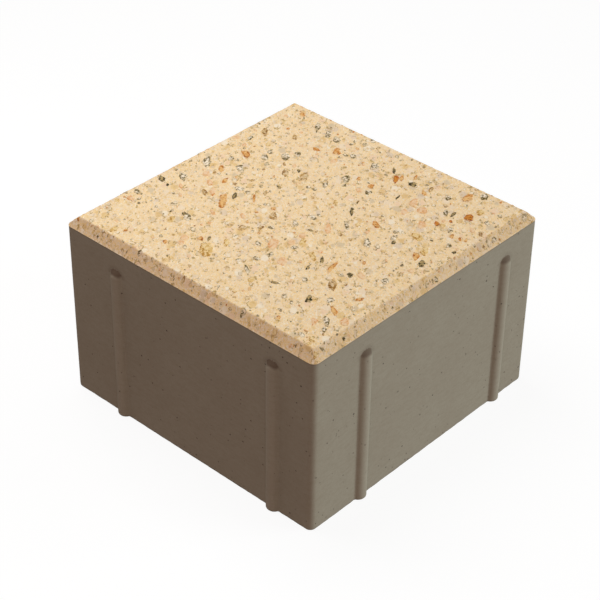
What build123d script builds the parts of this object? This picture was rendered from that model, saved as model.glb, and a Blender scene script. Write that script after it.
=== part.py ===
"""Square paving sett: a pressed concrete block with a chamfered facing of granite chips.

Millimetres, +Z up. The origin is the middle of the bed face, so the sett stands on z = 0.
"""

import math
import os

from build123d import *

# Block
block_side = 95.0
block_height = 60.0
corner_radius = 2.0

# Facing: the layer of granite chips that is walked on, with a chamfer all round it
facing_thickness = 2.8
chamfer_width = 2.8
arris_corner_radius = 0.3

# Spacer ribs: upright half-round bars that hold the joint between two setts open
wall_count = 4
rib_projection = 1.5
rib_width = 4.4
rib_root_radius = 0.5
rib_embedment = 1.0
rib_length = 51.5
rib_end_rise = 3.2
rib_end_slope = 45.0

# The two ribs of a wall are off centre by the stagger, so they pass beside a neighbour's ribs.
rib_spacing = 60.0
rib_stagger = 3.0

# Worked out from the above
body_height = block_height - facing_thickness
arris_side = block_side - 2 * chamfer_width
rib_radius = (rib_width**2 / 4 + rib_projection**2) / (2 * rib_projection)
rib_foot = rib_width + 2 * rib_root_radius
rib_back = rib_foot + 2 * rib_root_radius
rib_places = (rib_stagger - rib_spacing / 2, rib_stagger + rib_spacing / 2)

# The rib's upper end slopes back, so its outline is this much larger at the rib's buried back.
end_reach = rib_embedment * math.tan(math.radians(rib_end_slope))
end_half_width = rib_foot / 2 + end_reach
end_crown = rib_length + end_reach
end_shoulder = end_crown - rib_end_rise

os.makedirs("parts", exist_ok=True)

# One spacer rib: the wall's face is x = 0, and the rib stands out along +X
with BuildPart() as spacer_rib:
    with BuildSketch() as rib_section:
        with Locations((rib_projection - rib_radius, 0)):
            Circle(rib_radius)
        Rectangle(rib_embedment, rib_back, align=(Align.MAX, Align.CENTER))
        split(bisect_by=Plane.YZ.offset(-rib_embedment), keep=Keep.TOP)
        on_wall = rib_section.vertices().filter_by(lambda vertex: abs(vertex.X) < rib_root_radius / 10)
        fillet(on_wall.sort_by(Axis.Y)[1:-1], radius=rib_root_radius)
    extrude(amount=rib_length)
    with BuildSketch(Plane.YZ.offset(-rib_embedment)):
        with BuildLine():
            sides = Polyline(
                (-end_half_width, end_shoulder),
                (-end_half_width, -rib_length),
                (end_half_width, -rib_length),
                (end_half_width, end_shoulder),
            )
            ThreePointArc(sides @ 0, (0, end_crown), sides @ 1)
        make_face()
    extrude(amount=rib_embedment + rib_projection, taper=rib_end_slope, mode=Mode.INTERSECT)

# Concrete body, with the ribs round its walls
with BuildPart() as concrete_body:
    with BuildSketch():
        RectangleRounded(block_side, block_side, corner_radius)
    extrude(amount=body_height)
    with PolarLocations(block_side / 2, wall_count):
        with Locations(*[(0, place) for place in rib_places]):
            add(spacer_rib.part)

# Granite facing, from the block's full width up to the arris
with BuildPart() as granite_facing:
    with BuildSketch(Plane.XY.offset(body_height)):
        RectangleRounded(block_side, block_side, corner_radius)
    with BuildSketch(Plane.XY.offset(block_height)):
        RectangleRounded(arris_side, arris_side, arris_corner_radius)
    loft(ruled=True)

concrete_body.part.label = "concrete_body"
granite_facing.part.label = "granite_facing"
export_step(concrete_body.part, "parts/concrete_body.step")
export_step(granite_facing.part, "parts/granite_facing.step")
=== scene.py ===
"""Paving sett: pressed concrete with spacer ribs, under a blasted facing of granite chips.

Blender units are metres, so sizes are written in millimetres times MM.
"""

import math
import random

import bpy
import numpy as np
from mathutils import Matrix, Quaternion, Vector, noise


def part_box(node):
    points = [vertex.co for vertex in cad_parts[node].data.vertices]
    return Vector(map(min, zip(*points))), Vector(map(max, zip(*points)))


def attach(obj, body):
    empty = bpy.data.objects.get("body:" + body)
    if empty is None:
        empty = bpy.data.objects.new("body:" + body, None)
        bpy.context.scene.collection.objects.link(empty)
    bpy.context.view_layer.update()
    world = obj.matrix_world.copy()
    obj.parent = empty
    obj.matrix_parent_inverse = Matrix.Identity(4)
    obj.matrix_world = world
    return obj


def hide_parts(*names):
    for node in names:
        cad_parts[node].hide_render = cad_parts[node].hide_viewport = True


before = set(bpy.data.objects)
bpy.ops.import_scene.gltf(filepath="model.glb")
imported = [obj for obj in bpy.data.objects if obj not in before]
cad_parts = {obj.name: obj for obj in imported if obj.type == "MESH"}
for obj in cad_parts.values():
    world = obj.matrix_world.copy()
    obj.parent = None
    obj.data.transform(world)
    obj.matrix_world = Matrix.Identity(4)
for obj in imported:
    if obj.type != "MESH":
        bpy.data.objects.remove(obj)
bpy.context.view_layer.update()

MM = 0.001
SEED = 7

# The block, from the frame
_, body_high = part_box("concrete_body")
facing_low, facing_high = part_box("granite_facing")
HALF_SIDE = facing_high.x
SEAM_Z = facing_low.z
TOP_Z = facing_high.z
FACING_THICKNESS = TOP_Z - SEAM_Z
RIB_PROJECTION = body_high.x - HALF_SIDE

# The block's other sizes, as in the CAD model
CORNER_RADIUS = 2.0 * MM
CHAMFER_WIDTH = 2.8 * MM
RIB_WIDTH = 4.4 * MM
RIB_ROOT_RADIUS = 0.5 * MM
RIB_TOP = 51.5 * MM
RIB_END_RADIUS = 2.74 * MM
RIB_PLACES = (-27.0 * MM, 33.0 * MM)

# Camera, fitted to the photograph's edges
IMAGE_PIXELS = 600
FOCAL_PIXELS = 1813.0
CAMERA_AZIMUTH = math.radians(42.19)
CAMERA_ELEVATION = math.radians(35.72)
CAMERA_ROLL = math.radians(0.85)
CAMERA_DISTANCE = 537.5 * MM
CAMERA_TARGET = Vector((-3.94, 3.50, 25.94)) * MM

# The stones lie mostly one way, away from the camera, where the photograph shows them least foreshortened.
LIE = CAMERA_AZIMUTH
LIE_STRETCH = 1.35


def srgb(red, green, blue):
    """A colour given as 0 to 255 values, as the linear colour that a shader takes."""
    def linear(value):
        share = value / 255
        return share / 12.92 if share <= 0.04045 else ((share + 0.055) / 1.055) ** 2.4

    return (linear(red), linear(green), linear(blue), 1.0)


def toward(azimuth, elevation):
    """The direction from the block to something at this azimuth and elevation."""
    level = math.cos(elevation)
    return Vector((math.sin(azimuth) * level, -math.cos(azimuth) * level, math.sin(elevation)))


# Shader building

class Nodes:
    """An emptied node tree, and a short way to fill it."""

    def __init__(self, tree):
        self.tree = tree
        tree.nodes.clear()

    def add(self, kind, inputs=None, **settings):
        """A new node. A socket given for an input is linked to it, and any other value is set."""
        node = self.tree.nodes.new(kind)
        for key, value in settings.items():
            setattr(node, key, value)
        for key, value in (inputs or {}).items():
            if isinstance(value, bpy.types.NodeSocket):
                self.tree.links.new(value, node.inputs[key])
            else:
                node.inputs[key].default_value = value
        return node

    def math(self, operation, a, b=0.0):
        """The result of an operation on one or two values."""
        return self.add("ShaderNodeMath", {0: a, 1: b}, operation=operation).outputs[0]

    def seen_directly(self):
        """1 for the camera's own rays and for what it sees mirrored or through glass, otherwise 0."""
        rays = self.add("ShaderNodeLightPath").outputs
        mirrored = self.math("MAXIMUM", rays["Is Glossy Ray"], rays["Is Transmission Ray"])
        return self.math("MAXIMUM", rays["Is Camera Ray"], mirrored)


class Shader(Nodes):
    """A new material. Textures are placed in object space, and their scale is the size of a feature."""

    def __init__(self, name):
        self.material = bpy.data.materials.new(name)
        self.material.use_nodes = True
        super().__init__(self.material.node_tree)
        self.place = self.add("ShaderNodeTexCoord").outputs["Object"]

    def lie_along(self, angle, stretch):
        """Turns the textures about the vertical and draws them out, away from the turned X axis."""
        turned = self.add("ShaderNodeVectorRotate", {"Vector": self.place, "Angle": -angle},
                          rotation_type="Z_AXIS")
        drawn = self.add("ShaderNodeVectorMath", {0: turned.outputs[0], 1: (1.0, 1 / stretch, 1.0)},
                         operation="MULTIPLY")
        self.place = drawn.outputs[0]

    def noise(self, size, detail=2.0, roughness=0.5, place=None, seed=0.0):
        """Cloudy noise from 0 to 1, with its middle at 0.5."""
        inputs = {"Vector": place or self.place, "W": seed, "Scale": 1 / size, "Detail": detail,
                  "Roughness": roughness}
        return self.add("ShaderNodeTexNoise", inputs, noise_dimensions="4D").outputs["Fac"]

    def span(self, value, low, high, to_low=0.0, to_high=1.0):
        """Maps low to to_low and high to to_high, smoothly, and holds the ends."""
        inputs = {"Value": value, "From Min": low, "From Max": high, "To Min": to_low, "To Max": to_high}
        return self.add("ShaderNodeMapRange", inputs, interpolation_type="SMOOTHSTEP").outputs["Result"]

    def mix(self, share, a, b, blend="MIX"):
        """Colour a where the share is 0, and colour b, blended in this way, where it is 1."""
        a_socket, b_socket, result_socket = 6, 7, 2
        inputs = {"Factor": share, a_socket: a, b_socket: b}
        return self.add("ShaderNodeMix", inputs, data_type="RGBA", blend_type=blend).outputs[result_socket]

    def scaled(self, value, by):
        """The value times a number or another value."""
        return self.math("MULTIPLY", value, by)

    def pick(self, value, colours):
        """One of the colours, in equal steps of the value."""
        ramp = self.add("ShaderNodeValToRGB", {"Fac": value})
        stops = ramp.color_ramp
        stops.interpolation = "CONSTANT"
        while len(stops.elements) < len(colours):
            stops.elements.new(1.0)
        for i, colour in enumerate(colours):
            stops.elements[i].position = i / len(colours)
            stops.elements[i].color = colour
        return ramp.outputs["Color"]

    def ragged(self, size, amount):
        """The place, shifted about by up to the amount, so that round cells come out angular and uneven."""
        shift = self.add("ShaderNodeTexNoise", {"Vector": self.place, "Scale": 1 / size, "Detail": 2.0})
        centred = self.add("ShaderNodeVectorMath", {0: shift.outputs["Color"], 1: (0.5, 0.5, 0.5)},
                           operation="SUBTRACT")
        away = self.add("ShaderNodeVectorMath", {0: centred.outputs[0], "Scale": 2 * amount},
                        operation="SCALE")
        moved = self.add("ShaderNodeVectorMath", {0: self.place, 1: away.outputs[0]}, operation="ADD")
        return moved.outputs[0]

    def cells(self, spacing, place):
        """Random cells: how far off a cell's middle is, in spacings, and its three random numbers."""
        cells = self.add("ShaderNodeTexVoronoi", {"Vector": place, "Scale": 1 / spacing}).outputs
        # A cell's colour goes with its place, so the random numbers are drawn from it afresh.
        drawn = self.add("ShaderNodeTexWhiteNoise", {"Vector": cells["Color"]})
        chances = self.add("ShaderNodeSeparateColor", {0: drawn.outputs["Color"]}).outputs
        return cells["Distance"], chances[0], chances[1], chances[2]

    def grains(self, spacing, share, smallest, largest, place):
        """Loose grains: how far a point lies inside one, in spacings, and a random number for the grain."""
        distance, presence, chance, _ = self.cells(spacing, place)
        radius = self.span(presence, 1 - share, 1.0, smallest, largest)
        missing = self.math("LESS_THAN", presence, 1 - share)
        return self.math("SUBTRACT", self.math("SUBTRACT", radius, missing), distance), chance

    def attribute(self, name):
        """A number that the mesh holds for each of its points."""
        return self.add("ShaderNodeAttribute", attribute_name=name).outputs["Fac"]

    def bump(self, height, depth):
        """The normal of a surface with this relief, where a height of 1 stands up by the depth."""
        inputs = {"Height": height, "Distance": depth, "Strength": 1.0}
        return self.add("ShaderNodeBump", inputs).outputs["Normal"]

    def finish(self, colour, roughness, normal, specular):
        """Gives the material its surface."""
        inputs = {"Base Color": colour, "Roughness": roughness, "Normal": normal,
                  "Specular IOR Level": specular}
        surface = self.add("ShaderNodeBsdfPrincipled", inputs)
        self.add("ShaderNodeOutputMaterial", {"Surface": surface.outputs[0]})
        return self.material


# Tones of the concrete

CONCRETE = srgb(163, 152, 135)
CONCRETE_PALE = srgb(167, 157, 140)
STREAK = srgb(153, 142, 124)
SAND = srgb(143, 131, 114)
PORE = srgb(66, 55, 45)
SEAM_SHADE = srgb(96, 84, 72)
# Painted highlight: a lighter tone on the ribs' crests.
CREST_HIGHLIGHT = srgb(190, 179, 161)
# Painted shade: a darker tone on the ribs' upper ends.
RIB_END_SHADE = srgb(97, 77, 62)
COARSE_BED = srgb(112, 102, 89)

# Tones of the facing

CREAM = srgb(247, 220, 176)
# Painted shade that darkens the chamfer.
CHAMFER_SHADE = srgb(234, 226, 221)
MIX = srgb(251, 221, 172)
MIX_PALE = srgb(254, 229, 186)
CRESCENT = srgb(162, 128, 52)
# Painted shade in the mix's deepest hollows.
RECESS_SHADE = srgb(196, 156, 82)
PEBBLES = (srgb(228, 208, 187), srgb(246, 214, 182), srgb(232, 197, 134), srgb(254, 242, 222),
           srgb(217, 197, 166), srgb(248, 228, 202), srgb(228, 190, 126))
FLECKS = (srgb(86, 77, 24), srgb(148, 108, 30), srgb(196, 134, 46), srgb(118, 102, 34), srgb(170, 138, 62))

# The mix's mottling: size in millimetres, seed, noise span, strength and colour
MOTTLES = (
    (1.7, 11.0, 0.46, 0.62, 0.50, (241, 217, 184)),
    (1.1, 12.0, 0.48, 0.66, 0.50, (240, 206, 152)),
    (0.6, 13.0, 0.54, 0.70, 0.60, (214, 180, 106)),
    (0.45, 14.0, 0.52, 0.66, 0.85, (255, 249, 242)),
    (0.35, 15.0, 0.50, 0.62, 0.80, (250, 212, 138)),
    (0.35, 16.0, 0.52, 0.64, 0.70, (246, 227, 208)),
    (0.8, 17.0, 0.60, 0.74, 0.65, (204, 162, 78)),
)

# The mix's pebbles: spacing in millimetres, share of places taken, and radii in spacings
PEBBLE_LAYERS = ((2.8, 0.75, 0.25, 0.5), (1.4, 0.8, 0.2, 0.48))


# Materials

def concrete_material():
    """Grey-brown pressed concrete: faint clouds, fine sand, small dark pores, a coarser bed face, painted
    shade on the rib ends and a painted highlight on the rib crests.
    """
    cloud_size, sand_size, streak_size, coarse_size = 14 * MM, 0.45 * MM, 0.9 * MM, 2.2 * MM
    pore_spacing, pore_share, smallest_pore, largest_pore, pore_rim = 1.7 * MM, 0.62, 0.07, 0.19, 0.05
    faintest_pore, darkest_pore = 0.12, 0.8
    raggedness_size, raggedness = 1.0 * MM, 0.15 * MM
    bed_full, bed_gone, seam_width, seam_core = 0.1 * MM, 0.4 * MM, 0.7 * MM, 0.1 * MM
    streak_strength, sand_strength, seam_strength, bed_strength = 0.4, 0.3, 0.3, 0.5
    crest_highlight_strength, end_shade_strength = 0.2, 0.88
    sand_relief, bed_relief, relief_depth = 0.3, 6.0, 0.12 * MM
    along_the_wall = (0.3, 0.3, 1.0)

    shader = Shader("pressed_concrete")
    height = shader.add("ShaderNodeSeparateXYZ", {0: shader.place}).outputs["Z"]
    bed = shader.span(height, bed_full, bed_gone, 1.0, 0.0)
    clouds = shader.noise(cloud_size, detail=4, roughness=0.55)
    sand = shader.noise(sand_size, detail=3, roughness=0.65)
    lying = shader.add("ShaderNodeVectorMath", {0: shader.place, 1: along_the_wall}, operation="MULTIPLY")
    streaks = shader.noise(streak_size, detail=3, roughness=0.6, place=lying.outputs[0])
    colour = shader.mix(shader.span(clouds, low=0.3, high=0.7), CONCRETE, CONCRETE_PALE)
    colour = shader.mix(shader.span(streaks, low=0.4, high=0.7, to_high=streak_strength), colour, STREAK)
    colour = shader.mix(shader.span(sand, low=0.35, high=0.75, to_high=sand_strength), colour, SAND)
    place = shader.ragged(raggedness_size, raggedness)
    inside, chance = shader.grains(pore_spacing, pore_share, smallest_pore, largest_pore, place)
    pores = shader.span(inside, 0.0, pore_rim)
    darkness = shader.span(chance, 0.0, 1.0, faintest_pore, darkest_pore)
    colour = shader.mix(shader.scaled(pores, darkness), colour, PORE)
    under_seam = shader.span(height, SEAM_Z - seam_width, SEAM_Z - seam_core, to_high=seam_strength)
    colour = shader.mix(under_seam, colour, SEAM_SHADE)
    # Painted highlight: the ribs' crests are lightened.
    colour = shader.mix(shader.scaled(shader.attribute("rib_crest"), crest_highlight_strength), colour, CREST_HIGHLIGHT)
    # Painted shade: the ribs' upper ends, and the wall just above them, are darkened.
    colour = shader.mix(shader.scaled(shader.attribute("rib_end_shade"), end_shade_strength), colour, RIB_END_SHADE)
    coarse = shader.noise(coarse_size, detail=4, roughness=0.6)
    coarse_bed = shader.scaled(bed, shader.span(coarse, low=0.4, high=0.65, to_high=bed_strength))
    colour = shader.mix(coarse_bed, colour, COARSE_BED)
    relief = shader.math("SUBTRACT", shader.scaled(sand, sand_relief), pores)
    relief = shader.math("ADD", relief, shader.scaled(bed, shader.scaled(coarse, bed_relief)))
    return shader.finish(colour, roughness=0.9, normal=shader.bump(relief, relief_depth), specular=0.2)


def facing_material():
    """The cream mix between the chips: mottled sand, faint pebbles with dark crescents, dark flecks, and
    painted shade in its deepest hollows and on the chamfer.
    """
    cloud_size, crescent_size, grit_size, grit_depth = 5 * MM, 1.5 * MM, 0.3 * MM, 0.09 * MM
    pebble_strength, rim_strength, rim_millimetres = 0.7, 0.8, 0.2
    fleck_size, fleck_spacing = 0.9 * MM, 2.2 * MM
    faintest_fleck, fleck_on_chamfer, recess_shade_strength = 0.4, 0.85, 0.35

    shader = Shader("granite_mix")
    shader.lie_along(LIE, LIE_STRETCH)
    chamfer = shader.attribute("chamfer")
    place = shader.ragged(size=0.8 * MM, amount=0.5 * MM)
    clouds = shader.noise(cloud_size, detail=3)
    colour = shader.mix(shader.span(clouds, low=0.3, high=0.7), MIX, MIX_PALE)
    for size, seed, low, high, strength, tint in MOTTLES:
        patch = shader.noise(size * MM, detail=3, roughness=0.6, seed=seed)
        colour = shader.mix(shader.span(patch, low, high, to_high=strength), colour, srgb(*tint))
    crescents = shader.span(shader.noise(crescent_size, seed=3.0), low=0.5, high=0.62)
    for spacing, share, smallest, largest in PEBBLE_LAYERS:
        inside, chance = shader.grains(spacing * MM, share, smallest, largest, place)
        pebble = shader.span(inside, low=-0.02, high=0.2, to_high=pebble_strength)
        colour = shader.mix(pebble, colour, shader.pick(chance, PEBBLES))
        from_rim = shader.math("ABSOLUTE", inside)
        rim = shader.span(from_rim, 0.0, rim_millimetres / spacing, rim_strength, 0.0)
        colour = shader.mix(shader.scaled(rim, crescents), colour, CRESCENT)
    _, _, chance, strength = shader.cells(fleck_spacing, place)
    torn = shader.ragged(size=1.2 * MM, amount=0.45 * MM)
    streaks = shader.noise(fleck_size, detail=2, roughness=0.6, seed=5.0, place=torn)
    fleck = shader.scaled(shader.span(streaks, low=0.66, high=0.76),
                          shader.span(strength, 0.0, 1.0, faintest_fleck, 1.0))
    fleck = shader.scaled(fleck, shader.span(chamfer, 0.0, 1.0, 1.0, fleck_on_chamfer))
    colour = shader.mix(fleck, colour, shader.pick(chance, FLECKS))
    # Painted shade darkens the deepest hollows of the mix.
    colour = shader.mix(shader.scaled(shader.attribute("hollow"), recess_shade_strength), colour, RECESS_SHADE)
    # Painted shade darkens the chamfer.
    colour = shader.mix(chamfer, colour, CHAMFER_SHADE, blend="MULTIPLY")
    grit = shader.noise(grit_size, detail=3, roughness=0.65)
    return shader.finish(colour, roughness=0.85, normal=shader.bump(grit, grit_depth), specular=0.1)


def chip_material(mineral):
    """One mineral: a pale heart, a dark crescent of painted shade on one side, and the cream mix lapping
    over the edge.
    """
    mottle_size, spot_size, patch_size = 0.9 * MM, 0.7 * MM, 0.7 * MM
    grit_size, grit_depth = 0.35 * MM, 0.05 * MM
    heart_by_rim, spots_by_rim, spots_by_shaded_side = 0.18, 0.1, 0.12
    spot_level, level_by_share, spot_edge = 0.74, 0.3, 0.08
    lap_by_rim, lap_by_patch = 0.45, 1.6

    shader = Shader(mineral.name)
    main, pale, dark = (srgb(*tone) for tone in mineral.tones)
    rim = shader.attribute("rim")
    place = shader.ragged(size=0.9 * MM, amount=0.35 * MM)
    mottle = shader.noise(mottle_size, detail=3, roughness=0.6, place=place)
    heart = shader.math("ADD", mottle, shader.scaled(rim, heart_by_rim))
    colour = shader.mix(shader.span(heart, low=0.5, high=0.66), pale, main)
    spots = shader.noise(spot_size, detail=2, roughness=0.6, seed=2.0, place=place)
    spots = shader.math("ADD", spots, shader.scaled(rim, spots_by_rim))
    # Painted shade: the dark spots gather on the chip's shaded side.
    spots = shader.math("ADD", spots, shader.scaled(shader.attribute("side"), spots_by_shaded_side))
    start = spot_level - level_by_share * mineral.dark_share
    colour = shader.mix(shader.span(spots, start, start + spot_edge), colour, dark)
    colour = shader.mix(shader.attribute("faint"), colour, CREAM)
    patches = shader.noise(patch_size, detail=3, roughness=0.65, seed=7.0, place=place)
    lap = shader.math("ADD", shader.scaled(rim, lap_by_rim), shader.scaled(patches, lap_by_patch))
    colour = shader.mix(shader.span(lap, low=1.1, high=1.26, to_high=mineral.lap), colour, CREAM)
    # Painted shade darkens the chip where it lies on the chamfer.
    colour = shader.mix(shader.attribute("chamfer"), colour, CHAMFER_SHADE, blend="MULTIPLY")
    grit = shader.noise(grit_size, detail=2)
    return shader.finish(colour, mineral.roughness, shader.bump(grit, grit_depth), specular=0.1)


# Minerals of the chips

class Mineral:
    """A kind of chip.

    It has a share of all the chips, a range of lengths in millimetres and a greatest slenderness. Part of
    it is dark, and the mix laps over some of it. Its tones are the main, the pale and the dark one.
    """

    def __init__(self, name, share, lengths, slenderness, dark_share, lap, roughness, tones):
        self.name = name
        self.share = share
        self.lengths = lengths
        self.slenderness = slenderness
        self.dark_share = dark_share
        self.lap = lap
        self.roughness = roughness
        self.tones = tones


GRANITE = Mineral("speckled_granite", share=0.30, lengths=(0.8, 3.0), slenderness=1.6, dark_share=0.70,
                  lap=0.8, roughness=0.55, tones=((201, 179, 142), (250, 235, 212), (97, 81, 30)))
MICA = Mineral("black_mica", share=0.13, lengths=(0.5, 1.6), slenderness=2.2, dark_share=0.5,
               lap=0.85, roughness=0.6, tones=((42, 38, 12), (186, 160, 108), (30, 28, 8)))
RUST = Mineral("rusty_feldspar", share=0.10, lengths=(0.5, 1.9), slenderness=1.8, dark_share=0.45,
               lap=0.7, roughness=0.65, tones=((206, 134, 58), (236, 192, 128), (162, 90, 26)))
IRON = Mineral("iron_stone", share=0.02, lengths=(0.5, 1.4), slenderness=1.6, dark_share=0.45,
               lap=0.5, roughness=0.65, tones=((186, 98, 28), (212, 144, 62), (136, 66, 12)))
PINK = Mineral("pink_feldspar", share=0.14, lengths=(0.9, 3.0), slenderness=1.5, dark_share=0.42,
               lap=0.8, roughness=0.65, tones=((233, 182, 130), (242, 209, 170), (219, 146, 76)))
OCHRE = Mineral("ochre_stone", share=0.12, lengths=(0.8, 2.8), slenderness=1.5, dark_share=0.6,
                lap=0.85, roughness=0.7, tones=((226, 188, 118), (242, 215, 162), (188, 138, 58)))
BROWN = Mineral("brown_stone", share=0.18, lengths=(0.5, 2.2), slenderness=1.9, dark_share=0.64,
                lap=0.75, roughness=0.65, tones=((192, 150, 84), (228, 203, 162), (136, 92, 32)))
MINERALS = (GRANITE, MICA, RUST, IRON, PINK, OCHRE, BROWN)
LOOSE_CHIPS = 560
EDGE_CHIPS = 150

# The outlines read from the photograph grow by this, since the mix laps over a chip's edge.
LAP_ALLOWANCE = 1.25

# Chips that stand out in the photograph: middle, length and width in its pixels, and turn in degrees
SEEN_CHIPS = {
    MICA: ((162, 178, 9, 5, -50), (168, 184, 3, 3, 0), (235, 195, 7, 4, 60), (184, 213, 4, 4, 0),
           (209, 238, 5, 3, 50), (279, 187, 5, 2, -45), (322, 260, 6, 4, 80), (308, 267, 5, 4, 50),
           (394, 170, 7, 3, -80), (413, 184, 8, 5, 0), (398, 197, 7, 2, 45), (352, 211, 7, 4, 80),
           (453, 214, 6, 3, 30), (394, 242, 5, 4, 30), (454, 252, 4, 3, 0), (422, 263, 7, 6, 20),
           (309, 298, 8, 6, 60), (350, 275, 6, 5, -40), (275, 282, 9, 2, -10), (311, 230, 6, 2, -20),
           (299, 170, 4, 4, 0)),
    GRANITE: ((183, 176, 8, 7, 0), (188, 217, 8, 7, 20), (239, 188, 10, 5, 0), (295, 223, 7, 6, 70),
              (313, 217, 7, 4, -10), (294, 247, 7, 4, 0), (258, 243, 6, 5, -40), (257, 258, 7, 4, -20),
              (247, 269, 9, 5, -65), (346, 179, 8, 7, 30), (374, 166, 8, 7, 0), (368, 192, 7, 4, 0),
              (347, 225, 9, 4, -75), (367, 242, 10, 7, -70), (393, 238, 7, 5, -40), (446, 212, 7, 6, 60),
              (484, 196, 7, 6, 0), (448, 197, 7, 5, -60), (449, 245, 6, 5, 0), (305, 279, 6, 5, 0),
              (324, 329, 6, 5, 60), (326, 320, 10, 6, -70), (325, 185, 6, 5, 60), (207, 161, 11, 8, 80),
              (240, 168, 9, 7, -30), (318, 125, 11, 6, 75), (328, 134, 8, 6, 60), (298, 154, 7, 6, 0),
              (265, 157, 7, 7, 0), (231, 158, 6, 5, 30), (285, 156, 8, 7, -20)),
    RUST: ((223, 201, 15, 8, 80), (225, 180, 7, 4, 25), (254, 198, 9, 3, 80), (165, 241, 4, 4, 0),
           (332, 267, 14, 4, 45), (360, 299, 7, 3, 5), (334, 311, 11, 5, -60), (371, 186, 7, 4, 15),
           (402, 178, 6, 4, 70), (424, 193, 5, 5, 0), (376, 224, 9, 6, -40), (468, 198, 11, 8, 10),
           (460, 239, 4, 3, -60), (466, 240, 4, 3, 60), (452, 236, 4, 4, 0), (416, 177, 5, 3, 50),
           (201, 238, 6, 4, 0), (246, 153, 8, 8, 0), (221, 168, 6, 6, 45), (317, 149, 7, 4, -20),
           (337, 151, 8, 6, 10), (302, 114, 6, 4, -20), (416, 256, 8, 7, 60)),
    IRON: ((469, 217, 8, 7, 30), (396, 179, 9, 5, 75), (437, 223, 5, 4, -30)),
    PINK: ((210, 182, 7, 6, 0), (213, 191, 8, 6, 60), (213, 212, 7, 4, -60), (181, 242, 6, 4, 0),
           (273, 243, 11, 9, 60), (283, 261, 10, 8, 0), (414, 202, 10, 7, 45), (422, 223, 8, 8, 0),
           (422, 210, 10, 7, 0), (314, 321, 8, 7, 60), (345, 321, 8, 8, 0), (328, 229, 10, 6, 80)),
    OCHRE: ((206, 249, 13, 12, 80), (171, 219, 8, 6, 30), (226, 243, 7, 6, 60), (303, 241, 8, 6, 35),
            (313, 256, 9, 8, -30), (418, 237, 11, 6, -25), (425, 251, 9, 8, 60), (480, 212, 8, 5, 0),
            (309, 343, 5, 3, 0)),
    BROWN: ((265, 193, 4, 4, 0), (273, 215, 9, 7, 0), (242, 227, 8, 6, 20), (261, 227, 7, 4, 10),
            (431, 189, 6, 4, 70), (204, 191, 6, 5, -60), (481, 234, 6, 4, -60), (346, 284, 5, 3, 60),
            (332, 284, 11, 10, 20), (265, 131, 9, 6, 80), (295, 137, 5, 5, 0), (304, 176, 9, 8, 30),
            (285, 173, 6, 6, 0)),
}


# Meshes

def new_piece(name, points, faces, materials, smooth_below=None):
    """A mesh object at the origin.

    Edges sharper than smooth_below stay sharp, and without it every face is flat.
    """
    mesh = bpy.data.meshes.new(name)
    mesh.from_pydata(points, [], faces)
    for material in materials:
        mesh.materials.append(material)
    if smooth_below is not None:
        mesh.shade_smooth()
        mesh.set_sharp_from_angle(angle=smooth_below)
    mesh.update()
    piece = bpy.data.objects.new(name, mesh)
    bpy.context.scene.collection.objects.link(piece)
    return piece


def set_attribute(piece, name, values):
    """Keeps a number for each point of the piece's mesh, for its material."""
    attribute = piece.data.attributes.new(name, "FLOAT", "POINT")
    attribute.data.foreach_set("value", np.asarray(values, np.float32))


def smoothstep(value, low, high):
    """0 up to low, 1 from high on, and a smooth step between them."""
    share = np.clip((value - low) / (high - low), 0.0, 1.0)
    return share * share * (3 - 2 * share)


def in_sizes(point, size):
    """The point, measured in features of this size."""
    return [value / size for value in point]


def layered_noise(point, size, fall, layers):
    """Noise with features of this size, and layers of it that get finer and fall off."""
    finer = 2.0
    return noise.fractal(in_sizes(point, size), fall, finer, layers)


# Concrete body

def rib_profile(across):
    """How far a rib stands out at this distance from its middle: a round back with hollow feet."""
    radius = (RIB_WIDTH**2 / 4 + RIB_PROJECTION**2) / (2 * RIB_PROJECTION)
    centre = RIB_PROJECTION - radius
    foot = math.sqrt((radius + RIB_ROOT_RADIUS) ** 2 - (RIB_ROOT_RADIUS - centre) ** 2)
    tangent = foot * radius / (radius + RIB_ROOT_RADIUS)
    across = np.abs(across)
    back = centre + np.sqrt(np.maximum(radius**2 - across**2, 0))
    hollow = RIB_ROOT_RADIUS - np.sqrt(np.maximum(RIB_ROOT_RADIUS**2 - (across - foot) ** 2, 0))
    return np.where(across <= tangent, back, np.where(across < foot, hollow, 0.0))


def wall_columns():
    """Places along one wall: about a millimetre apart, and closer over the ribs."""
    pitch, fine_pitch, window = 1.0 * MM, 0.2 * MM, 3.8 * MM
    flat = HALF_SIDE - CORNER_RADIUS
    plain = np.linspace(-flat, flat, round(2 * flat / pitch) + 1)
    for place in RIB_PLACES:
        plain = plain[np.abs(plain - place) > window + fine_pitch]
    fine_count = round(2 * window / fine_pitch) + 1
    fine = [place + np.linspace(-window, window, fine_count) for place in RIB_PLACES]
    return np.sort(np.concatenate([plain, *fine]))


def wall_rows():
    """Heights up the wall, closer together over the ribs' upper ends and at the bottom edge."""
    end_low, end_high, fine_pitch = RIB_TOP - 5 * MM, RIB_TOP + 1.6 * MM, 0.2 * MM
    above_edge, gap_below, rows_below = 1.2 * MM, 0.5 * MM, 42
    gap_above, rows_above = 0.6 * MM, 7
    edge = np.array([0.0, 0.12, 0.3, 0.6]) * MM
    below = np.linspace(above_edge, end_low - gap_below, rows_below)
    ends = np.linspace(end_low, end_high, round((end_high - end_low) / fine_pitch) + 1)
    above = np.linspace(end_high + gap_above, SEAM_Z, rows_above)
    return np.concatenate([edge, below, ends, above])


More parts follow.
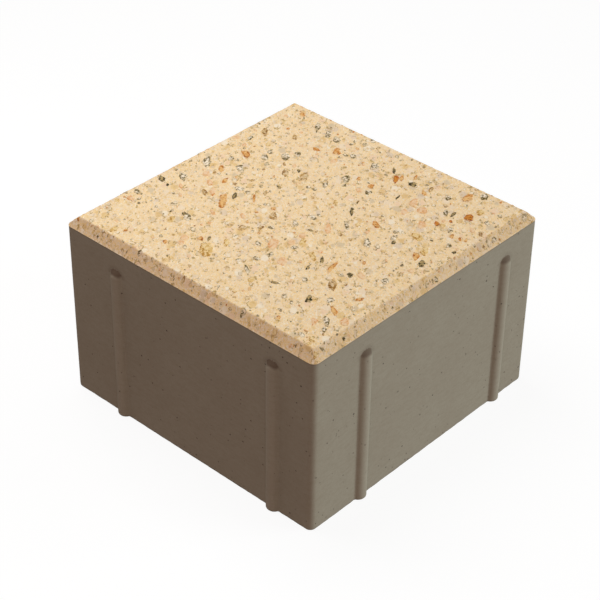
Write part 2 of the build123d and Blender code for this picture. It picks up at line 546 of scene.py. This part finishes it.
def body_outline():
    """Points round the plan, their outward directions, and their distances from each rib's middle."""
    points, outward, from_ribs = [], [], []
    walls, corner_steps = 4, 8
    for wall in range(walls):
        turn = wall * math.pi / 2
        out = np.array([math.cos(turn), math.sin(turn)])
        along = np.array([-math.sin(turn), math.cos(turn)])
        for place in wall_columns():
            points.append(out * HALF_SIDE + along * place)
            outward.append(out)
            from_ribs.append([place - rib for rib in RIB_PLACES])
        middle = (out + along) * (HALF_SIDE - CORNER_RADIUS)
        for step in range(1, corner_steps):
            angle = turn + step / corner_steps * math.pi / 2
            direction = np.array([math.cos(angle), math.sin(angle)])
            points.append(middle + direction * CORNER_RADIUS)
            outward.append(direction)
            from_ribs.append([HALF_SIDE] * len(RIB_PLACES))
    return np.array(points), np.array(outward), np.array(from_ribs)


def tube_faces(count, levels):
    """Faces between rings of points, with a cap at each end."""
    faces = []
    for level in range(levels - 1):
        low, high = level * count, (level + 1) * count
        for i in range(count):
            j = (i + 1) % count
            faces.append((low + i, low + j, high + j, high + i))
    faces.append(tuple(reversed(range(count))))
    faces.append(tuple(range((levels - 1) * count, levels * count)))
    return faces


def make_concrete_body():
    """The body and its ribs, as rings of points up the walls, with the ribs' ends marked for painted shade
    and their crests for a painted highlight.
    """
    points, outward, from_ribs = body_outline()
    rows = wall_rows()
    bar = rib_profile(from_ribs)
    end_centre = RIB_TOP - RIB_END_RADIUS
    edge_break, edge_height, unevenness, wave = 0.2 * MM, 0.5 * MM, 0.05 * MM, 9 * MM
    wear_size, wear_seed, usual_wear, wear_range = 2 * MM, 5.0, 0.6, 0.5
    end_edge, end_start, end_fade, end_halo, halo_share = 0.8 * MM, 1.0 * MM, 0.45 * MM, 1.5 * MM, 0.25
    crest_foot = 0.2 * RIB_PROJECTION
    # The painted shade on the rib ends of the +X wall is lighter than on the others.
    lighter_shade, as_usual, nearly_x = 0.84, 1.0, 0.9
    end_shade_level = np.where(outward[:, 0] > nearly_x, lighter_shade, as_usual)
    worn = np.array([usual_wear + wear_range * noise.noise((x / wear_size, y / wear_size, wear_seed))
                     for x, y in points])
    vertices, rib_end_shade, rib_crest = [], [], []
    for z in rows:
        slope = RIB_END_RADIUS - np.hypot(from_ribs, max(z - end_centre, 0.0))
        near_end = smoothstep(z, end_centre, end_centre + end_start)
        worn_edge = np.maximum(1 - np.abs(bar - slope) / end_edge, 0.0) ** 2 * end_edge / 4 * near_end
        out = np.maximum(np.minimum(bar, slope) - worn_edge, 0.0).max(axis=1)
        # Painted shade: full on each rib's upper end, fading at its lower edge, and a fainter halo of it on
        # the wall just above.
        on_end = smoothstep(bar - slope, -end_fade, end_fade)
        shade_above_end = halo_share * smoothstep(slope, -end_halo, 0.0)
        rib_end_shade.append(np.where(slope > 0, on_end, shade_above_end).max(axis=1) * near_end * end_shade_level)
        rib_crest.append(smoothstep(out, crest_foot, RIB_PROJECTION))
        rough = np.array([layered_noise((x, y, z), wave, fall=1.0, layers=3) for x, y in points])
        low_edge = max(1 - z / edge_height, 0.0) ** 2 * edge_break * worn
        reach = out - low_edge - unevenness * np.clip(0.5 + 0.5 * rough, 0, 1) * (out <= 0)
        place = points + outward * reach[:, None]
        vertices.append(np.column_stack([place, np.full(len(place), z)]))
    faces = tube_faces(len(points), len(rows))
    piece = new_piece("pressed_concrete_body", np.concatenate(vertices), faces, [concrete_material()],
                      smooth_below=math.radians(40))
    set_attribute(piece, "rib_end_shade", np.concatenate(rib_end_shade))
    set_attribute(piece, "rib_crest", np.concatenate(rib_crest))
    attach(piece, "root")
    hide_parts("concrete_body")


# Granite facing

def inside_distance(x, y):
    """How far a point of the plan lies inside the block's rounded outline."""
    corner_x = np.abs(x) - (HALF_SIDE - CORNER_RADIUS)
    corner_y = np.abs(y) - (HALF_SIDE - CORNER_RADIUS)
    straight = HALF_SIDE - np.maximum(np.abs(x), np.abs(y))
    rounded = CORNER_RADIUS - np.hypot(corner_x, corner_y)
    return np.where((corner_x > 0) & (corner_y > 0), rounded, straight)


def facing_surface(x, y, depth):
    """Points over the plan, this deep under the plain surface, and how far each is on the chamfer."""
    step, soft = 0.02 * MM, 0.12 * MM
    rise = inside_distance(x, y) * FACING_THICKNESS / CHAMFER_WIDTH
    chamfer = np.clip(0.5 + 0.5 * (FACING_THICKNESS - rise) / soft, 0.0, 1.0)
    height = FACING_THICKNESS + (rise - FACING_THICKNESS) * chamfer - soft * chamfer * (1 - chamfer)
    slope_x = (inside_distance(x + step, y) - inside_distance(x - step, y)) / (2 * step)
    slope_y = (inside_distance(x, y + step) - inside_distance(x, y - step)) / (2 * step)
    normal = np.stack([-slope_x * chamfer, -slope_y * chamfer, np.ones_like(x)], axis=-1)
    normal /= np.linalg.norm(normal, axis=-1, keepdims=True)
    points = np.stack([x, y, SEAM_Z + np.maximum(height, 0.0)], axis=-1)
    return points - normal * np.asarray(depth)[..., None], chamfer


def grain_depth(points):
    """How deep the mix lies under the plain surface: grains, hollows between them and a few pits."""
    grain_size, grit_size, wave_size, pit_size = 1.05 * MM, 0.8 * MM, 4.0 * MM, 1.7 * MM
    gap_width, pit_level = 0.35, 0.42
    # The depths are in millimetres.
    usual, gap_depth, grit_depth, wave_depth, pit_depth, least = 0.16, 0.08, 0.05, 0.06, 0.5, 0.03
    depth = np.empty(len(points))
    for i, point in enumerate(points):
        near = noise.voronoi(in_sizes(point, grain_size))[0]
        gap = max(0.0, 1.0 - (near[1] - near[0]) / gap_width)
        grit = layered_noise(point, grit_size, fall=0.6, layers=2)
        wave = layered_noise(point, wave_size, fall=1.0, layers=2)
        pit = max(0.0, noise.noise(in_sizes(point, pit_size)) - pit_level)
        depth[i] = usual + gap_depth * gap + grit_depth * grit + wave_depth * wave + pit_depth * pit
    return np.maximum(depth, least) * MM


def plan_grid(axis):
    """A grid over the plan, drawn in at the corners to the block's rounded outline."""
    x, y = np.meshgrid(axis, axis)
    flat = HALF_SIDE - CORNER_RADIUS
    across, up = np.abs(x) - flat, np.abs(y) - flat
    corner = (across > 0) & (up > 0)
    round_x = np.sign(x) * (flat + across * np.sqrt(np.maximum(1 - (up / CORNER_RADIUS) ** 2 / 2, 0)))
    round_y = np.sign(y) * (flat + up * np.sqrt(np.maximum(1 - (across / CORNER_RADIUS) ** 2 / 2, 0)))
    return np.where(corner, round_x, x).ravel(), np.where(corner, round_y, y).ravel()


def grid_faces(count):
    """Faces of a square grid with this many points a side, and one face under it that closes it."""
    last = count - 1
    faces = []
    for row in range(last):
        for column in range(last):
            i = row * count + column
            faces.append((i, i + 1, i + count + 1, i + count))
    rim = list(range(count))
    rim += [row * count + last for row in range(1, count)]
    rim += [last * count + column for column in range(last - 1, -1, -1)]
    rim += [row * count for row in range(last - 1, 0, -1)]
    faces.append(tuple(reversed(rim)))
    return faces


def make_facing():
    """The cream mix, with its grains as relief that fades out at the seam and is weaker on the chamfer, and
    its deepest hollows marked for painted shade.
    """
    chamfer_steps, top_steps = 10, 290
    relief_fade, chamfer_calm = 0.5 * MM, 0.45
    hollow_start, hollow_full = 0.2 * MM, 0.42 * MM
    arris = HALF_SIDE - CHAMFER_WIDTH
    edge = np.linspace(arris, HALF_SIDE, chamfer_steps + 1)
    axis = np.concatenate([-edge[::-1], np.linspace(-arris, arris, top_steps + 1)[1:-1], edge])
    x, y = plan_grid(axis)
    plain, chamfer = facing_surface(x, y, np.zeros_like(x))
    depth = grain_depth(plain)
    relief = smoothstep(inside_distance(x, y), 0.0, relief_fade) * (1 - chamfer_calm * chamfer)
    points, _ = facing_surface(x, y, depth * relief)
    piece = new_piece("granite_mix_facing", points, grid_faces(len(axis)), [facing_material()],
                      smooth_below=math.radians(60))
    # Marks the deepest hollows for painted shade.
    set_attribute(piece, "hollow", smoothstep(depth, hollow_start, hollow_full))
    set_attribute(piece, "chamfer", chamfer)
    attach(piece, "root")
    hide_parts("granite_facing")


# Chips

def crushed_outline(rng, length, width, turn):
    """An angular outline round its own middle, with its long side turned."""
    fewest_sides, most_sides, unevenness, nearest, farthest = 6, 9, 0.32, 0.66, 1.14
    sides = rng.randint(fewest_sides, most_sides)
    start = rng.uniform(0, 2 * math.pi)
    corners = []
    for side in range(sides):
        angle = start + (side + rng.uniform(-unevenness, unevenness)) / sides * 2 * math.pi
        reach = rng.uniform(nearest, farthest) / 2
        along, across = math.cos(angle) * reach * length, math.sin(angle) * reach * width
        corners.append((along * math.cos(turn) - across * math.sin(turn),
                        along * math.sin(turn) + across * math.cos(turn)))
    return np.array(corners)


def camera_axes():
    """The camera's turn, and its right, up and backward directions."""
    back = toward(CAMERA_AZIMUTH, CAMERA_ELEVATION)
    turn = (-back).to_track_quat("-Z", "Y") @ Quaternion((0, 0, 1), CAMERA_ROLL)
    return turn, turn @ Vector((1, 0, 0)), turn @ Vector((0, 1, 0)), back


def tread_under_pixel(column, row):
    """Where the photograph's pixel falls on the tread, in plan."""
    _, right, up, back = camera_axes()
    eye = CAMERA_TARGET + back * CAMERA_DISTANCE
    middle = IMAGE_PIXELS / 2
    ray = -back + right * ((column - middle) / FOCAL_PIXELS) - up * ((row - middle) / FOCAL_PIXELS)
    spot = eye + ray * ((TOP_Z - eye.z) / ray.z)
    return spot.x, spot.y


def seen_chips(rng):
    """The chips that the photograph shows, as mineral and outline in plan."""
    chips = []
    for mineral, places in SEEN_CHIPS.items():
        for column, row, length, width, turn in places:
            outline = crushed_outline(rng, length, width, math.radians(turn)) * LAP_ALLOWANCE
            chips.append((mineral, np.array([tread_under_pixel(column + u, row - v) for u, v in outline])))
    return chips


def loose_chips(rng, taken):
    """Chips scattered over the tread, then more along its chamfer, clear of each other and of taken ones."""
    toward_small, crowding, rim_margin, middle_margin = 1.5, 0.42, 0.2 * MM, 0.5 * MM
    chips = []
    circles = [(outline.mean(axis=0), np.ptp(outline, axis=0).max() / 2) for _, outline in taken]
    limit = HALF_SIDE - middle_margin
    shares = [mineral.share for mineral in MINERALS]
    lie = np.array([[math.cos(LIE), math.sin(LIE)], [-math.sin(LIE), math.cos(LIE)]])
    drawn = np.array([1.0, LIE_STRETCH])
    while len(chips) < LOOSE_CHIPS + EDGE_CHIPS:
        mineral = rng.choices(MINERALS, shares)[0]
        smallest, largest = mineral.lengths
        length = smallest * (largest / smallest) ** (rng.random() ** toward_small) * MM
        width = length / rng.uniform(1.0, mineral.slenderness)
        middle = np.array([rng.uniform(-limit, limit), rng.uniform(-limit, limit)])
        on_edge = inside_distance(*middle) < CHAMFER_WIDTH
        if len(chips) >= LOOSE_CHIPS and not on_edge:
            continue
        outline = middle + (crushed_outline(rng, length, width, rng.uniform(0, math.pi)) * drawn) @ lie
        if inside_distance(outline[:, 0], outline[:, 1]).min() < rim_margin:
            continue
        if any(math.dist(middle, other) < crowding * length + radius for other, radius in circles):
            continue
        circles.append((middle, length / 2))
        chips.append((mineral, outline))
    return chips


def chip_faces(start, count):
    """Faces of one chip, from three rings and a tip: foot, side, bevel and a low pyramid on top."""
    top = start + 3 * count
    faces = []
    for i in range(count):
        j = (i + 1) % count
        for low in (start, start + count):
            faces.append((low + i, low + j, low + count + j, low + count + i))
        faces.append((top - count + i, top - count + j, top))
    faces.append(tuple(reversed(range(start, start + count))))
    return faces


def make_chips():
    """All the chips, as little stones sunk in the mix, with their rims marked, and one side of each marked
    for painted shade.
    """
    rng = random.Random(SEED)
    chips = seen_chips(rng)
    seen_count = len(chips)
    chips += loose_chips(rng, chips)
    buried, bevel, crown, least_depth = 0.45 * MM, 0.1 * MM, 0.04 * MM, 0.01 * MM
    # A top lies between these depths, in millimetres, and tilts by up to this slope.
    shallowest, deepest, steepest = 0.03, 0.11, 0.05
    smallest_top, largest_top, tip_shift = 0.7, 0.88, 0.35
    outer_rim, top_rim, faintest = 1.0, 0.55, 0.4
    plan, depth, rim, side, faint, faces, slots = [], [], [], [], [], [], []
    for index, (mineral, outline) in enumerate(chips):
        count = len(outline)
        middle = outline.mean(axis=0)
        arms = outline - middle
        inset = np.array([[rng.uniform(smallest_top, largest_top)] for _ in range(count)])
        under = rng.uniform(shallowest, deepest) * MM
        tilt = np.array([rng.uniform(-steepest, steepest), rng.uniform(-steepest, steepest)])
        # Each chip gets a random side for painted shade.
        shaded = rng.uniform(0, 2 * math.pi)
        facing_shade = arms @ [math.cos(shaded), math.sin(shaded)] / np.linalg.norm(arms, axis=1)
        faces += chip_faces(len(plan), count)
        rings = ((arms, under + bevel + buried, outer_rim), (arms, under + bevel, outer_rim),
                 (arms * inset, under, top_rim))
        for ring, level, edge in rings:
            plan.extend(middle + ring)
            depth.extend(level + ring @ tilt)
            rim.extend([edge] * count)
            side.extend(facing_shade * edge)
        plan.append(middle + arms[0] * rng.uniform(0.0, tip_shift))
        depth.append(under - crown)
        rim.append(0.0)
        side.append(0.0)
        slots.extend([MINERALS.index(mineral)] * (3 * count + 1))
        faint.extend([0.0 if index < seen_count else rng.uniform(0.0, faintest)] * (3 * count + 1))
    plan = np.array(plan)
    points, chamfer = facing_surface(plan[:, 0], plan[:, 1], np.maximum(depth, least_depth))
    piece = new_piece("granite_chips", points, faces, [chip_material(mineral) for mineral in MINERALS])
    piece.data.polygons.foreach_set("material_index", np.array(slots, np.int32))
    set_attribute(piece, "rim", rim)
    set_attribute(piece, "side", side)
    set_attribute(piece, "faint", faint)
    set_attribute(piece, "chamfer", chamfer)
    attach(piece, "root")


# Stage, light and camera

WHITE = (1.0, 1.0, 1.0, 1.0)
ROOM_TINT = (1.0, 0.74, 0.65, 1.0)
ROOM_LEVEL = 0.17
FLOOR_HALF_SIDE = 3.0
FLOOR_GLOW = 0.90
FLOOR_SHADED = (0.14, 0.14, 0.14, 1.0)
SENSOR_WIDTH = 36.0
NEAREST_SEEN, FARTHEST_SEEN = 0.01, 20.0

# The lamps: name, azimuth and elevation in degrees, distance and size in metres, level and colour
LAMPS = (
    ("key", 130, 11, 1.6, 0.9, 0.77, (0.82, 0.97, 1.0)),
    ("overhead", -80, 70, 0.36, 0.26, 0.635, (0.98, 1.0, 1.0)),
    ("fill", 40, 20, 1.2, 0.8, 0.17, (1.0, 0.87, 0.79)),
)


def make_floor():
    """A white floor with the block's soft shadow. To the block it is as bright as the room."""
    half = FLOOR_HALF_SIDE
    corners = [(-half, -half, 0), (half, -half, 0), (half, half, 0), (-half, half, 0)]
    material = bpy.data.materials.new("white_floor")
    material.use_nodes = True
    nodes = Nodes(material.node_tree)
    shown = nodes.add("ShaderNodeEmission", {"Color": WHITE, "Strength": FLOOR_GLOW})
    shaded = nodes.add("ShaderNodeBsdfDiffuse", {"Color": FLOOR_SHADED})
    white = nodes.add("ShaderNodeAddShader", {0: shown.outputs[0], 1: shaded.outputs[0]})
    plain = nodes.add("ShaderNodeEmission", {"Color": ROOM_TINT, "Strength": ROOM_LEVEL})
    choice = nodes.add("ShaderNodeMixShader",
                       {0: nodes.seen_directly(), 1: plain.outputs[0], 2: white.outputs[0]})
    nodes.add("ShaderNodeOutputMaterial", {"Surface": choice.outputs[0]})
    new_piece("floor", corners, [(0, 1, 2, 3)], [material])


def make_room():
    """White where it is seen, and an even warm light on the block."""
    world = bpy.data.worlds.new("room")
    world.use_nodes = True
    bpy.context.scene.world = world
    nodes = Nodes(world.node_tree)
    white = nodes.add("ShaderNodeBackground", {"Color": WHITE, "Strength": 1.0})
    soft = nodes.add("ShaderNodeBackground", {"Color": ROOM_TINT, "Strength": ROOM_LEVEL})
    choice = nodes.add("ShaderNodeMixShader",
                       {0: nodes.seen_directly(), 1: soft.outputs[0], 2: white.outputs[0]})
    nodes.add("ShaderNodeOutputWorld", {"Surface": choice.outputs[0]})


def add_lamp(name, azimuth, elevation, distance, size, level, colour):
    """A square lamp aimed at the block. A level of 1 lights a surface that faces it to its own colour."""
    direction = toward(math.radians(azimuth), math.radians(elevation))
    lamp = bpy.data.lights.new(name, "AREA")
    lamp.size = size
    lamp.energy = level * math.pi**2 * distance**2
    lamp.color = colour
    holder = bpy.data.objects.new(name, lamp)
    holder.location = Vector((0, 0, TOP_Z / 2)) + direction * distance
    holder.rotation_mode = "QUATERNION"
    holder.rotation_quaternion = (-direction).to_track_quat("-Z", "Y")
    bpy.context.scene.collection.objects.link(holder)


def add_camera():
    """The camera that was fitted to the photograph, made the scene's own."""
    turn, _, _, back = camera_axes()
    camera = bpy.data.cameras.new("camera")
    camera.sensor_width = SENSOR_WIDTH
    camera.lens = FOCAL_PIXELS * camera.sensor_width / IMAGE_PIXELS
    camera.clip_start, camera.clip_end = NEAREST_SEEN, FARTHEST_SEEN
    holder = bpy.data.objects.new("camera", camera)
    holder.location = CAMERA_TARGET + back * CAMERA_DISTANCE
    holder.rotation_mode = "QUATERNION"
    holder.rotation_quaternion = turn
    bpy.context.scene.collection.objects.link(holder)
    bpy.context.scene.camera = holder


make_concrete_body()
make_facing()
make_chips()
make_floor()
make_room()
for lamp_settings in LAMPS:
    add_lamp(*lamp_settings)
add_camera()
bpy.context.scene.view_settings.view_transform = "Standard"
